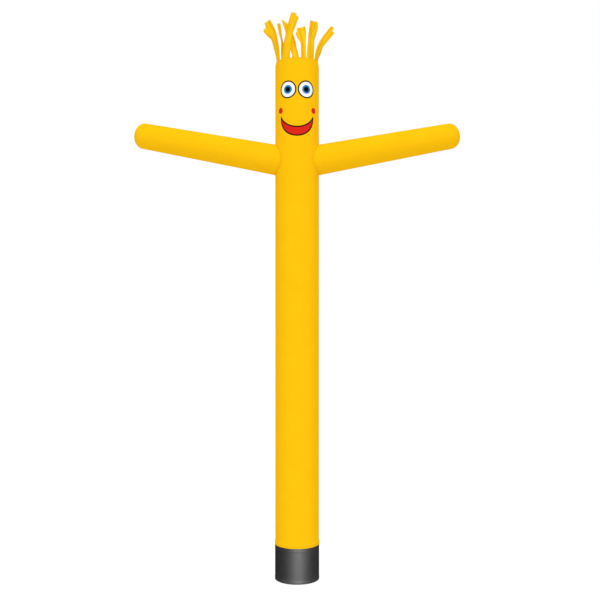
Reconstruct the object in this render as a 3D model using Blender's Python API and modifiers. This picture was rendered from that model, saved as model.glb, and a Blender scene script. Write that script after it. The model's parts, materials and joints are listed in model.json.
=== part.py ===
"""Inflatable tube dancer, standing as it does when air fills it.

A tall yellow nylon tube rises from a heavier black sleeve, which slips over a
round blower outlet. Two closed arms are sewn to the tube, and a slit band of
streamers is sewn inside the open head. The object stands on the flat hem of
the sleeve, with its origin at the middle of that hem. +Z is up, and -Y is the
front. All sizes are in metres.
"""

import math

import bmesh
import bpy
from mathutils import Vector

NAME = "inflatable_tube_dancer"

# Cloth and seams
NYLON = 0.002
SLEEVE_CLOTH = 0.0022
STREAMER_CLOTH = 0.0015
SEAM_GAP = 0.0003
TUBE_SIDES = 48
ARM_SIDES = 36

# Base sleeve, which slips over the blower's outlet
OUTLET_DIAMETER = 0.457
OUTLET_EASE = 0.0063
SLEEVE_SEEN = 0.375
SLEEVE_LAP = 0.020
SLEEVE_HEM = 0.030
SLEEVE_HEM_EXTRA = 0.0008

# Tube
TUBE_RADIUS = 0.2340
HEM_TURN = 0.024
HEM_FLARE = 0.030
HEAD_HEIGHT = 5.534
HEAD_DRAWN_IN = 0.011
HEAD_CURVE = 0.065

# Arms
ARM_ROOT_HEIGHT = 4.4925
ARM_RISE = math.radians(10.25)
ARM_ROOT_RADIUS = 0.1608
ARM_TIP_RADIUS = 0.136
ARM_REACH = 1.749
ARM_END_DEPTH = 0.1075
ARMHOLE_TURN_IN = 0.004

# Streamers
BAND_HEIGHT = 0.030
BAND_ABOVE_HEAD = 0.002
BAND_STEP = math.radians(8)
STREAMER_COLUMNS = 3
STREAMER_ROWS = 10
NOTCH_SIDE = 0.05
FLARE_POWER = 0.8

# Each streamer is a row. Its root stands at an angle round the head, counted
# from the front towards +X. It runs up to a bend and on to its tip, and its
# face looks in one direction at the bend and in another at the tip. It has a
# width at the root, at the waist and at the tip. Its end is stepped: a long
# lobe takes a share of the width, on the left where the share is positive and
# on the right where it is negative, and the rest is notched and stepped back.
STREAMER_COLUMN_NAMES = (
    "root_deg", "bend", "tip", "bend_deg", "tip_deg",
    "root_width", "waist", "tip_width", "lobe", "notch", "step",
)
STREAMER_TABLE = (
    (-140, (-0.17, 0.17, 5.836), (-0.203, 0.18, 6.021), -112, -118, 0.07, 0.072, 0.075, 0.6, 0.014, 0.012),
    (-107, (-0.231, 0.07, 5.78), (-0.29, 0.1, 5.91), -104, -100, 0.074, 0.068, 0.08, -0.6, 0.03, 0.036),
    (-69, (-0.231, -0.1, 5.768), (-0.34, -0.14, 5.921), -26, -8, 0.11, 0.07, 0.13, -0.56, 0.039, 0.056),
    (-34, (-0.096, -0.205, 5.763), (-0.0165, -0.2, 6.004), -14, 8, 0.102, 0.071, 0.091, 0.64, 0.02, 0.021),
    (-3, (-0.066, -0.12, 5.754), (-0.136, -0.1, 5.973), 6, 12, 0.069, 0.064, 0.062, 0.22, 0.012, 0.066),
    (18.5, (0.066, -0.215, 5.697), (0.029, -0.215, 5.848), 12, 2, 0.06, 0.057, 0.118, -0.8, 0.032, 0.048),
    (40.5, (0.149, -0.19, 5.726), (0.185, -0.2, 5.918), 26, 14, 0.098, 0.073, 0.096, 0.86, 0.038, 0.046),
    (70, (0.24, -0.09, 5.696), (0.391, -0.1, 5.878), 34, 12, 0.11, 0.066, 0.077, 0.54, 0.034, 0.033),
    (102, (0.242, 0.06, 5.724), (0.324, 0.1, 5.85), 100, 96, 0.075, 0.068, 0.08, 0.58, 0.03, 0.028),
    (133, (0.15, 0.17, 5.788), (0.179, 0.18, 5.95), 116, 108, 0.074, 0.066, 0.074, -0.62, 0.03, 0.026),
    (160, (0.066, 0.2, 5.81), (0.048, 0.195, 5.932), 130, 118, 0.052, 0.052, 0.08, -0.56, 0.034, 0.04),
    (189, (-0.022, 0.2, 5.775), (-0.084, 0.195, 5.95), 220, 232, 0.058, 0.056, 0.074, 0.6, 0.03, 0.024),
)

YELLOW = (0.965, 0.565, 0.006, 1.0)
BLACK = (0.030, 0.030, 0.032, 1.0)


def clear_scene():
    for thing in list(bpy.data.objects):
        bpy.data.objects.remove(thing, do_unlink=True)


def add_collection(name):
    collection = bpy.data.collections.new(name)
    bpy.context.scene.collection.children.link(collection)
    return collection


def make_cloth(name, colour, roughness):
    material = bpy.data.materials.new(name)
    material.use_nodes = True
    shader = material.node_tree.nodes["Principled BSDF"]
    shader.inputs["Base Color"].default_value = colour
    shader.inputs["Roughness"].default_value = roughness
    shader.inputs["Metallic"].default_value = 0.0
    return material


def add_object(name, mesh, collection, material=None):
    thing = bpy.data.objects.new(name, mesh)
    collection.objects.link(thing)
    if material is not None:
        mesh.materials.append(material)
    return thing


def turned_surface(name, profile, sides, collection, material=None):
    """Turn (radius, height) points, listed from the top down, about Z."""
    mesh = bpy.data.meshes.new(name)
    points = [(radius, 0.0, height) for radius, height in profile]
    edges = [(i, i + 1) for i in range(len(points) - 1)]
    mesh.from_pydata(points, edges, [])
    thing = add_object(name, mesh, collection, material)
    screw = thing.modifiers.new("turn", "SCREW")
    screw.steps = sides
    screw.render_steps = sides
    screw.use_merge_vertices = True
    screw.merge_threshold = 0.00005
    screw.use_smooth_shade = True
    return thing


def add_thickness(thing, thickness):
    """Give an open surface its cloth, inwards from the outer face."""
    solidify = thing.modifiers.new("cloth", "SOLIDIFY")
    solidify.thickness = thickness
    solidify.offset = -1.0
    solidify.use_rim = True


def add_cut(thing, cutter):
    cut = thing.modifiers.new(cutter.name, "BOOLEAN")
    cut.operation = "DIFFERENCE"
    cut.solver = "EXACT"
    cut.object = cutter


def turned_cutter(name, radius, bottom, top, sides, collection):
    profile = [(0.0, top), (radius, top), (radius, bottom), (0.0, bottom)]
    cutter = turned_surface(name, profile, sides, collection)
    cutter.hide_render = True
    cutter.display_type = "WIRE"
    return cutter


def place_on_arm(thing, side):
    """Set a thing made along +Z on an arm's axis; side is 1 or -1."""
    thing.location = (side * TUBE_RADIUS, 0.0, ARM_ROOT_HEIGHT)
    thing.rotation_euler = (0.0, side * (math.pi / 2 - ARM_RISE), 0.0)


def eased(start, end, share):
    """A value between start and end, level at both."""
    return start + (end - start) * (1 - math.cos(math.pi * share)) / 2


def sleeve_radius():
    """The outer radius of the sleeve above its hem."""
    return OUTLET_DIAMETER / 2 + OUTLET_EASE + SLEEVE_CLOTH


def build_sleeve(collection, material):
    """Straight open sleeve with a turned-up hem that is a little thicker."""
    outer = sleeve_radius()
    hem_outer = outer + SLEEVE_HEM_EXTRA
    inner = outer - SLEEVE_CLOTH
    top = SLEEVE_SEEN + SLEEVE_LAP
    profile = [
        (inner, 0.0),
        (inner, top),
        (outer, top),
        (outer, SLEEVE_HEM + SLEEVE_HEM_EXTRA),
        (hem_outer, SLEEVE_HEM),
        (hem_outer, 0.0),
        (inner, 0.0),
    ]
    turned_surface("base_sleeve", profile, TUBE_SIDES, collection, material)


def tube_profile():
    """The tube's outer face, from the head's rim down to the flared hem."""
    points = []
    curve_rows = 4
    for i in range(curve_rows + 1):
        share = 1 - i / curve_rows
        height = HEAD_HEIGHT - HEAD_CURVE * (1 - share)
        points.append((TUBE_RADIUS - HEAD_DRAWN_IN * share ** 2, height))
    hem_radius = sleeve_radius() + SEAM_GAP + NYLON
    hem_top = SLEEVE_SEEN + HEM_TURN
    flare_top = hem_top + HEM_FLARE
    straight_rows = 6
    straight_top = HEAD_HEIGHT - HEAD_CURVE
    for i in range(1, straight_rows + 1):
        share = i / straight_rows
        points.append((TUBE_RADIUS, straight_top + (flare_top - straight_top) * share))
    flare_rows = 3
    for i in range(1, flare_rows + 1):
        share = i / flare_rows
        points.append((eased(TUBE_RADIUS, hem_radius, share), flare_top - HEM_FLARE * share))
    points.append((hem_radius, SLEEVE_SEEN))
    return points


def build_tube(collection, cutters, material):
    """Tall open tube with an armhole on each side."""
    tube = turned_surface("body_tube", tube_profile(), TUBE_SIDES, collection, material)
    add_thickness(tube, NYLON)
    hole_radius = ARM_ROOT_RADIUS - NYLON - ARMHOLE_TURN_IN
    for side, word in ((-1, "left"), (1, "right")):
        hole = turned_cutter(f"armhole_{word}", hole_radius, -TUBE_RADIUS / 2, TUBE_RADIUS / 2,
                             ARM_SIDES, cutters)
        place_on_arm(hole, side)
        add_cut(tube, hole)


def arm_length():
    """From the tube's side to where the arm's rounded end starts.

    The end is half an ellipsoid, and the arm reaches ARM_REACH from the
    middle of the tube at the ellipsoid's farthest point along X.
    """
    end_reach = math.hypot(ARM_END_DEPTH * math.cos(ARM_RISE), ARM_TIP_RADIUS * math.sin(ARM_RISE))
    return (ARM_REACH - TUBE_RADIUS - end_reach) / math.cos(ARM_RISE)


def arm_profile():
    """The arm's outer face along its axis, from the pole to inside the tube."""
    length = arm_length()
    end_rows = 7
    points = []
    for i in range(end_rows + 1):
        turn = math.pi / 2 * i / end_rows
        points.append((ARM_TIP_RADIUS * math.sin(turn), length + ARM_END_DEPTH * math.cos(turn)))
    taper = (ARM_ROOT_RADIUS - ARM_TIP_RADIUS) / length
    points.append((ARM_ROOT_RADIUS - taper * length / 2, length / 2))
    points.append((ARM_ROOT_RADIUS, 0.0))
    points.append((ARM_ROOT_RADIUS + taper * TUBE_RADIUS, -TUBE_RADIUS))
    return points


def build_arms(collection, cutters, material):
    """Two tapered arms, closed at the end and trimmed to the tube's round."""
    trim_bottom = ARM_ROOT_HEIGHT - 2 * ARM_ROOT_RADIUS
    trim_top = ARM_ROOT_HEIGHT + 2 * ARM_ROOT_RADIUS
    trim = turned_cutter("tube_round", TUBE_RADIUS + SEAM_GAP, trim_bottom, trim_top,
                         TUBE_SIDES, cutters)
    for side, word in ((-1, "left"), (1, "right")):
        arm = turned_surface(f"arm_{word}", arm_profile(), ARM_SIDES, collection, material)
        place_on_arm(arm, side)
        add_thickness(arm, NYLON)
        add_cut(arm, trim)


def band_radius():
    """The streamer band's outer radius, just clear of the head's rim."""
    rim_slope = math.atan(2 * HEAD_DRAWN_IN / HEAD_CURVE)
    rim_inner = TUBE_RADIUS - HEAD_DRAWN_IN - NYLON * math.cos(rim_slope)
    return rim_inner * math.cos(math.pi / TUBE_SIDES) - SEAM_GAP


def facing(angle):
    """The level direction that a cloth face looks in, from the front."""
    return Vector((math.sin(angle), -math.cos(angle), 0.0))


def streamer_width(row, t):
    """Narrowing from the root to the waist, then widening to the tip."""
    if t < 0.5:
        return eased(row["root_width"], row["waist"], 2 * t)
    return row["waist"] + (row["tip_width"] - row["waist"]) * (2 * t - 1) ** FLARE_POWER


def streamer_end(row):
    """The end's four points: their shares of the width and how far they are cut back."""
    lobe = abs(row["lobe"])
    shares = [0.0, lobe, lobe + NOTCH_SIDE, 1.0]
    cuts = [0.0, 0.0, row["notch"], row["step"]]
    if row["lobe"] < 0:
        shares = [1 - share for share in reversed(shares)]
        cuts.reverse()
    return shares, cuts


def streamer_rows(row, radius, top):
    """Points of a streamer's outer face, row by row from root to tip."""
    root_angle = math.radians(row["root_deg"])
    root = facing(root_angle) * radius + Vector((0.0, 0.0, top))
    bend = Vector(row["bend"])
    tip = Vector(row["tip"])
    turns = [root_angle, math.radians(row["bend_deg"]), math.radians(row["tip_deg"])]
    end_shares, end_cuts = streamer_end(row)
    rows = []
    for i in range(STREAMER_ROWS + 1):
        t = i / STREAMER_ROWS
        centre = root * (1 - t) ** 3 + bend * 3 * t * (1 - t) + tip * t ** 3
        along = (bend - root) * (1 - t) ** 2 + (tip - bend) * t ** 2
        along = along.normalized() if i > 0 else Vector((0.0, 0.0, 1.0))
        if t < 0.5:
            turn = eased(turns[0], turns[1], 2 * t)
        else:
            turn = eased(turns[1], turns[2], 2 * t - 1)
        across = along.cross(facing(turn)).normalized()
        outward = across.cross(along)
        round_radius = radius / (1 - 0.7 * t)
        points = []
        for j in range(STREAMER_COLUMNS + 1):
            even = j / STREAMER_COLUMNS
            share = even + (end_shares[j] - even) * t
            angle = (share - 0.5) * streamer_width(row, t) / round_radius
            sideways = across * round_radius * math.sin(angle)
            inward = outward * round_radius * (1 - math.cos(angle))
            point = centre + sideways - inward
            if i == STREAMER_ROWS:
                point -= along * end_cuts[j]
            points.append(point)
        rows.append(points)
    return rows


def band_angles(table, radius):
    """Angles of the band's points, and each streamer's first point.

    A streamer's root takes a point for each of its columns, and the slit up
    to the next streamer is split into short steps, so the band stays round.
    """
    angles = []
    starts = []
    for row, following in zip(table, table[1:] + table[:1]):
        middle = math.radians(row["root_deg"])
        half = row["root_width"] / radius / 2
        starts.append(len(angles))
        for j in range(STREAMER_COLUMNS + 1):
            angles.append(middle + half * (2 * j / STREAMER_COLUMNS - 1))
        slit_end = math.radians(following["root_deg"]) - following["root_width"] / radius / 2
        if slit_end < middle:
            slit_end += 2 * math.pi
        slit = slit_end - (middle + half)
        steps = math.ceil(slit / BAND_STEP)
        for j in range(1, steps):
            angles.append(middle + half + slit * j / steps)
    return angles, starts


def add_strip(cloth, lower, upper):
    """Join two rows of points with a row of faces."""
    for j in range(len(lower) - 1):
        cloth.faces.new((lower[j], lower[j + 1], upper[j + 1], upper[j]))


def build_streamers(collection, material):
    """A band with streamers slit from its top edge, as one cloth."""
    radius = band_radius()
    top = HEAD_HEIGHT + BAND_ABOVE_HEAD
    bottom = HEAD_HEIGHT - BAND_HEIGHT
    table = [dict(zip(STREAMER_COLUMN_NAMES, values)) for values in STREAMER_TABLE]
    angles, starts = band_angles(table, radius)
    cloth = bmesh.new()
    edges = []
    for height in (bottom, top):
        points = [facing(angle) * radius + Vector((0.0, 0.0, height)) for angle in angles]
        edges.append([cloth.verts.new(point) for point in points])
    lower_edge, upper_edge = edges
    add_strip(cloth, lower_edge + lower_edge[:1], upper_edge + upper_edge[:1])
    for row, start in zip(table, starts):
        lower = upper_edge[start:start + STREAMER_COLUMNS + 1]
        for points in streamer_rows(row, radius, top)[1:]:
            upper = [cloth.verts.new(point) for point in points]
            add_strip(cloth, lower, upper)
            lower = upper
    mesh = bpy.data.meshes.new("hair_streamers")
    cloth.to_mesh(mesh)
    cloth.free()
    mesh.shade_smooth()
    streamers = add_object("hair_streamers", mesh, collection, material)
    add_thickness(streamers, STREAMER_CLOTH)


def main():
    clear_scene()
    parts = add_collection(NAME)
    cutters = add_collection("cutters")
    build_sleeve(parts, make_cloth("black_coated_nylon", BLACK, 0.55))
    build_tube(parts, cutters, make_cloth("yellow_ripstop_tube", YELLOW, 0.6))
    build_arms(parts, cutters, make_cloth("yellow_ripstop_arm", YELLOW, 0.6))
    build_streamers(parts, make_cloth("yellow_ripstop_streamer", YELLOW, 0.6))


main()
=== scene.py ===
"""Cloth pieces of an inflatable tube dancer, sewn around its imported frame.

A tall yellow ripstop tube stands on a black sleeve that slips over a round
blower outlet. Two closed arms are sewn to its sides and a band of streamers is
sewn inside its open head. All sizes are in metres, +Z is up and -Y is the
front. Angles round the tube are counted from the front towards +X.
"""

import json
import math

import bmesh
import bpy
from bpy.props import FloatProperty, FloatVectorProperty, PointerProperty
from bpy.types import Operator, Panel, PropertyGroup
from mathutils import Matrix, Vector

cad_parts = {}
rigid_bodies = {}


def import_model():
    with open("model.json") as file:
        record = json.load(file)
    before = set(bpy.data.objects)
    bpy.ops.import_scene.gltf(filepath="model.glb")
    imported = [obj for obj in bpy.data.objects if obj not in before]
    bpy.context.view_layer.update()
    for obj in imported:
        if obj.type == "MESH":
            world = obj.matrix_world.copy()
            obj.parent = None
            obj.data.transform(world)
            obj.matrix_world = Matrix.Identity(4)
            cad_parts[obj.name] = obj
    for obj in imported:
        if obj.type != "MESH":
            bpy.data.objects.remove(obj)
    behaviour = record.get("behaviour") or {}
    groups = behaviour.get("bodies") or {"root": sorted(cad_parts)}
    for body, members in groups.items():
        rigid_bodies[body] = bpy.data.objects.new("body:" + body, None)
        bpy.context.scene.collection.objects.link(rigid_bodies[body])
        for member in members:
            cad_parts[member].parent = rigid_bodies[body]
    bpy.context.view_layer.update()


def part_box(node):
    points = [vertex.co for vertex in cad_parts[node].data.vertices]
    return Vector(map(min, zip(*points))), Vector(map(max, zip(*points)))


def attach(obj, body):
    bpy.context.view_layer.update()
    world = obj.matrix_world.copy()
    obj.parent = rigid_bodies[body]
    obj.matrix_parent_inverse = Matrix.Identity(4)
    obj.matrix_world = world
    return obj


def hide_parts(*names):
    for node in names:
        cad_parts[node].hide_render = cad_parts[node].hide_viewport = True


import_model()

bl_info = {
    "name": "Inflatable tube dancer",
    "version": (1, 0, 0),
    "blender": (4, 5, 0),
    "location": "3D View > Sidebar > Tube dancer",
    "description": "Sews the cloth pieces of an inflatable tube dancer around its frame",
    "category": "Add Mesh",
}

# Each streamer is a row. Its root stands at an angle round the head. It runs
# up to a bend and on to its tip, and its face looks in one direction at the
# bend and in another at the tip. It has a width at the root, at the waist and
# at the tip. Its end is stepped: a long lobe takes a share of the width, on
# the left where the share is positive and on the right where it is negative,
# and the rest is notched and stepped back.
STREAMER_COLUMN_NAMES = (
    "root_deg", "bend", "tip", "bend_deg", "tip_deg",
    "root_width", "waist", "tip_width", "lobe", "notch", "step",
)
STREAMER_TABLE = (
    (-140, (-0.17, 0.17, 5.836), (-0.203, 0.18, 6.021),
     -112, -118, 0.07, 0.072, 0.075, 0.6, 0.014, 0.012),
    (-107, (-0.231, 0.07, 5.78), (-0.29, 0.1, 5.91),
     -104, -100, 0.074, 0.068, 0.08, -0.6, 0.03, 0.036),
    (-69, (-0.231, -0.1, 5.768), (-0.34, -0.14, 5.921),
     -26, -8, 0.11, 0.07, 0.13, -0.56, 0.039, 0.056),
    (-34, (-0.096, -0.205, 5.763), (-0.0165, -0.2, 6.004),
     -14, 8, 0.102, 0.071, 0.091, 0.64, 0.02, 0.021),
    (-3, (-0.066, -0.12, 5.754), (-0.136, -0.1, 5.973),
     6, 12, 0.069, 0.064, 0.062, 0.22, 0.012, 0.066),
    (18.5, (0.066, -0.215, 5.697), (0.029, -0.215, 5.848),
     12, 2, 0.06, 0.057, 0.118, -0.8, 0.032, 0.048),
    (40.5, (0.149, -0.19, 5.726), (0.185, -0.2, 5.918),
     26, 14, 0.098, 0.073, 0.096, 0.86, 0.038, 0.046),
    (70, (0.24, -0.09, 5.696), (0.391, -0.1, 5.878),
     34, 12, 0.11, 0.066, 0.077, 0.54, 0.034, 0.033),
    (102, (0.242, 0.06, 5.724), (0.324, 0.1, 5.85),
     100, 96, 0.075, 0.068, 0.08, 0.58, 0.03, 0.028),
    (133, (0.15, 0.17, 5.788), (0.179, 0.18, 5.95),
     116, 108, 0.074, 0.066, 0.074, -0.62, 0.03, 0.026),
    (160, (0.066, 0.2, 5.81), (0.048, 0.195, 5.932),
     130, 118, 0.052, 0.052, 0.08, -0.56, 0.034, 0.04),
    (189, (-0.022, 0.2, 5.775), (-0.084, 0.195, 5.95),
     220, 232, 0.058, 0.056, 0.074, 0.6, 0.03, 0.024),
)
STREAMER_SPLITS = 3   # columns between each two points of a streamer's end
STREAMER_COLUMNS = 3 * STREAMER_SPLITS
STREAMER_ROWS = 34
NOTCH_SIDE = 0.05     # slope beside the notch, as a share of the width
FLARE_POWER = 0.8     # how soon a streamer widens to its tip
BAND_STEP = math.radians(3)
BAND_ROWS = 4

# Rows of a cloth's grid, as (start, end, step) spans. They are close together
# where a hem, a seam or its puckers need them. An arm's first rows are metres
# from its root, and the rest are shares of its length.
SLEEVE_SPANS = (
    (0.0, 0.04, 0.0035), (0.04, 0.1, 0.008), (0.1, 0.3, 0.015),
    (0.3, 0.36, 0.004), (0.36, 0.395, 0.0075),
)
TUBE_SPANS = (
    (0.375, 0.408, 0.003), (0.408, 0.46, 0.006), (0.46, 0.56, 0.0125), (0.56, 4.24, 0.035),
    (4.24, 4.745, 0.0078), (4.745, 5.4, 0.032), (5.4, 5.5, 0.009), (5.5, 5.534, 0.0028),
)
ARM_ROOT_SPANS = ((0.0, 0.024, 0.003), (0.024, 0.09, 0.006), (0.09, 0.3, 0.012))
ARM_REST_SPANS = ((0.3, 0.92, 0.02), (0.92, 0.975, 0.008), (0.975, 1.0, 0.0026))
SEAM_COLUMNS = (0.0025, 0.0055, 0.0085, 0.013, 0.02)   # distances from a long seam
SLEEVE_COLUMNS = 132
TUBE_COLUMNS = 150
ARM_COLUMNS = 112
ARM_END_ROWS = 20

# Puckers: how many stand round a hem or a root, and how far apart they are
# along a long seam.
SLEEVE_HEM_PUCKERS = 33
TUBE_HEM_PUCKERS = 34
ARM_PUCKERS = 24
SLEEVE_PUCKER_PITCH = 0.06
TUBE_PUCKER_PITCH = 0.16
ARM_PUCKER_PITCH = 0.11

STITCHES_BELOW_RIM = 0.014
SEAM_GAP = 0.0003       # left between two pieces that are sewn together
FRAME_TUBE_SIDES = 48   # the frame's tube is faceted, and the band stays inside its flats

FLAT_MAP = "cloth"
SEAM_MAP = "seam"
BAKE_MAP = "OFBake"


def linear(code):
    """An sRGB hex colour as linear red, green and blue."""
    parts = [int(code[i:i + 2], 16) / 255 for i in (1, 3, 5)]
    return tuple(c / 12.92 if c <= 0.04045 else ((c + 0.055) / 1.055) ** 2.4 for c in parts)


def size(name, description, default, unit="LENGTH"):
    """A length or an angle that a user may change."""
    if unit == "ROTATION":
        return FloatProperty(name=name, description=description, default=default,
                             subtype="ANGLE", precision=3)
    return FloatProperty(name=name, description=description, default=default,
                         unit=unit, precision=4)


def colour(name, description, code):
    """A colour that a user may change."""
    return FloatVectorProperty(name=name, description=description, default=linear(code),
                               subtype="COLOR", size=3, min=0.0, max=1.0)


class SleeveSizes(PropertyGroup):
    radius: size("Radius", "Outer radius above the hem", 0.2370)
    top: size("Top", "Height of the upper edge, under the tube's hem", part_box("base_sleeve")[1].z)
    cloth: size("Cloth", "Thickness of the coated cloth", 0.0022)
    hem_height: size("Hem height", "Height of the turned-up bottom hem", 0.030)
    hem_extra: size("Hem extra", "How far the hem stands proud", 0.0008)
    belt_height: size("Belt height", "Height of the seam that holds the outlet's belt", 0.346)


class TubeSizes(PropertyGroup):
    radius: size("Radius", "Outer radius of the straight tube", 0.2340)
    bottom: size("Bottom", "Height of the lower edge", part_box("body_tube")[0].z)
    head: size("Head", "Height of the open head's rim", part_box("body_tube")[1].z)
    cloth: size("Cloth", "Thickness of the cloth", 0.002)
    hem_radius: size("Hem radius", "Outer radius of the hem that laps over the sleeve",
                     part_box("body_tube")[1].y)
    hem_turn: size("Hem turn", "Height of the lapped hem", 0.024)
    hem_flare: size("Hem flare", "Height over which the tube widens to its hem", 0.030)
    drawn_in: size("Drawn in", "How far the streamer band draws the head's rim in", 0.011)
    head_curve: size("Head curve", "Height over which the head draws in", 0.065)
    armhole: size("Armhole", "Radius of the hole behind each arm", 0.1548)


class ArmSizes(PropertyGroup):
    root_height: size("Root height", "Height of the arm's axis at the tube's side", 4.4925)
    rise: size("Rise", "Angle of the arm above the level", math.radians(10.25), "ROTATION")
    root_radius: size("Root radius", "Outer radius at the tube", 0.1608)
    tip_radius: size("Tip radius", "Outer radius where the rounded end starts", 0.136)
    reach: size("Reach", "From the tube's middle to the arm's end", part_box("arm_right")[1].x)
    end_depth: size("End depth", "Depth of the rounded end", 0.1075)
    cloth: size("Cloth", "Thickness of the cloth", 0.002)
    seam_turn: size("Seam turn", "Angle of the long seam, from below towards the back",
                    math.radians(38), "ROTATION")
    end_seam: size("End seam", "Distance along the cloth from the rounded end to its panel's seam",
                   0.106)
    swell: size("Swell", "How far the air swells the cloth out beside the root seam", 0.006)
    tube_swell_reach: size("Tube swell reach", "How far from an arm the tube swells", 0.045)
    arm_swell_reach: size("Arm swell reach", "How far from its root an arm swells", 0.08)


class StreamerSizes(PropertyGroup):
    band_height: size("Band height", "Height of the sewn-in band below the rim", 0.030)
    above_head: size("Above head", "How far the band's edge stands above the rim", 0.002)
    cloth: size("Cloth", "Thickness of the streamer cloth", 0.0012)
    fold: size("Fold", "Depth of the soft folds along a streamer", 0.0035)


class SeamSizes(PropertyGroup):
    half_width: size("Half width", "Half the width of a felled seam", 0.006)
    height: size("Height", "How far a felled seam stands proud", 0.0009)
    slope: size("Slope", "Width over which a seam's edge falls away", 0.0028)
    pucker: size("Pucker", "Depth of the puckers beside a seam", 0.0024)
    reach: size("Reach", "How far from a seam its puckers run", 0.07)


class PrintLook(PropertyGroup):
    eye_height: size("Eye height", "Height of the round eyes", 5.2)
    eye_apart: size("Eye apart", "From the middle to each eye, along the cloth", 0.101)
    eye_radius: size("Eye radius", "Radius of each eye's disc", 0.080)
    cheek_height: size("Cheek height", "Height of the cheeks", 4.985)
    cheek_apart: size("Cheek apart", "From the middle to each cheek, along the cloth", 0.196)
    cheek_radius: size("Cheek radius", "Radius of each cheek", 0.032)
    smile_height: size("Smile height", "Height of the middle of the smile's outer arc", 4.9)
    smile_radius: size("Smile radius", "Radius of the smile's outer arc", 0.185)
    outline: size("Outline", "Width of the dark outlines", 0.014)
    ink: colour("Ink", "Colour of outlines and pupils", "#0E0D0C")
    white: colour("White", "Colour of the eyes", "#F8F8F6")
    blue: colour("Blue", "Colour of the ring round each pupil", "#2585C7")
    red: colour("Red", "Colour of the cheeks and the smile", "#DB2A1E")


class ClothLook(PropertyGroup):
    yellow: colour("Yellow", "Colour of the ripstop nylon", "#FFC511")
    # Deeper colour for doubled cloth, the ripstop grid and soft clouds, and for painted crease and
    # fold shade.
    shade: colour("Shade", "Colour of the nylon where it is doubled or creased", "#EFAA05")
    streamer: colour("Streamer", "Colour of the streamers", "#FFCF1B")
    # The deeper colour of the painted fold shade in the streamers' streaks.
    streamer_shade: colour("Streamer shade", "Colour of the streamers' deeper streaks", "#EDB00E")
    thread: colour("Thread", "Colour of the sewing thread", "#EBAE0B")
    black: colour("Black", "Colour of the coated sleeve", "#111112")
    ripstop: size("Ripstop", "Spacing of the ripstop grid", 0.012)


class StageLook(PropertyGroup):
    floor: colour("Floor", "Colour of the floor", "#8E8E8E")
    distance: size("Distance", "From the object to the camera", 9.4)
    camera_height: size("Camera height", "Height of the camera", 2.986)
    camera_side: size("Camera side", "How far the camera stands towards +X", 0.031)
    lens: FloatProperty(name="Lens", description="Focal length for a 36 mm wide sensor",
                        default=52.45, unit="CAMERA")
    sky: FloatProperty(name="Sky", description="Strength of the white studio tent", default=0.99)
    side_flags: FloatProperty(name="Side flags", default=0.35,
                              description="How much darker the tent is at the far left and right")
    key: FloatProperty(name="Key", description="Strength of the wide front light", default=0.8)
    gloss: FloatProperty(name="Gloss", description="Power of the tall reflection panel",
                         default=2950.0, unit="POWER")


class DancerSettings(PropertyGroup):
    sleeve: PointerProperty(type=SleeveSizes)
    tube: PointerProperty(type=TubeSizes)
    arm: PointerProperty(type=ArmSizes)
    streamer: PointerProperty(type=StreamerSizes)
    seam: PointerProperty(type=SeamSizes)
    print: PointerProperty(type=PrintLook)
    look: PointerProperty(type=ClothLook)
    stage: PointerProperty(type=StageLook)


# Shapes of cloth


def facing(turn):
    """The level direction at an angle from the front."""
    return Vector((math.sin(turn), -math.cos(turn), 0.0))


def round_point(turn, radius, height):
    """The point at an angle round the tube, a radius and a height."""
    return facing(turn) * radius + Vector((0, 0, height))


def smooth(share):
    """A value from 0 to 1 that is level at both ends."""
    share = min(max(share, 0.0), 1.0)
    return share * share * (3 - 2 * share)


def eased(start, end, share):
    """A value between start and end along a cosine, level at both."""
    return start + (end - start) * (1 - math.cos(math.pi * share)) / 2


def stations(spans):
    """Row places along spans of (start, end, step)."""
    places = [spans[0][0]]
    for start, end, step in spans:
        count = max(1, round((end - start) / step))
        places += [start + (end - start) * i / count for i in range(1, count + 1)]
    return places


def columns_round(count, radius):
    """Angles round a tube from back to back, closer together beside the seam there."""
    least_gap = 0.004
    extra = [math.pi - distance / radius for distance in SEAM_COLUMNS]
    even = [2 * math.pi * i / count - math.pi for i in range(count + 1)]
    limit = extra[-1] - least_gap / radius
    middle = [turn for turn in even if abs(turn) < limit]
    return [-math.pi] + [-turn for turn in extra] + middle + extra[::-1] + [math.pi]


def felled(seam, distance):
    """How far a felled seam lifts the cloth at a distance from its middle."""
    return seam.height * (1 - smooth((abs(distance) - seam.half_width) / seam.slope))


def pucker(seam, distance, phase):
    """How far the thread's pull sinks the cloth beside a seam.

    The seam's own line keeps its place. Phase counts the puckers. Their
    spacing, depth and length drift over 3, 5 and 4 of them. A lighter seam
    takes a share of the result.
    """
    if not 0.0 < distance < seam.reach:
        return 0.0
    onset = 0.012   # the puckers deepen over this distance from the seam
    wave = 0.5 + 0.5 * math.cos(2 * math.pi * phase + 0.9 * math.sin(2 * math.pi * phase / 3.0))
    depth = 0.7 + 0.3 * math.sin(2 * math.pi * phase / 5.0 + 1.0)
    length = seam.reach * (0.75 + 0.25 * math.cos(2 * math.pi * phase / 4.0))
    fade = 1 - smooth(distance / length)
    return seam.pucker * smooth(distance / onset) * fade * wave * depth


def nearest_seam(*seams):
    """The nearest of several (along, across) places on seams.

    Across is measured from the middle of the stitches, which lie a few
    millimetres beside a hem's or a trimmed edge.
    """
    return min(seams, key=lambda place: abs(place[1]))


def new_cloth():
    """An empty sheet and its two maps."""
    cloth = bmesh.new()
    return cloth, [cloth.loops.layers.uv.new(name) for name in (FLAT_MAP, SEAM_MAP)]


def add_face(cloth, maps, corners):
    """A face through corners. A corner is a point with its place on each map."""
    face = cloth.faces.new([corner[0] for corner in corners])
    for loop, corner in zip(face.loops, corners):
        for layer, place in zip(maps, corner[1:]):
            loop[layer].uv = place


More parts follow.
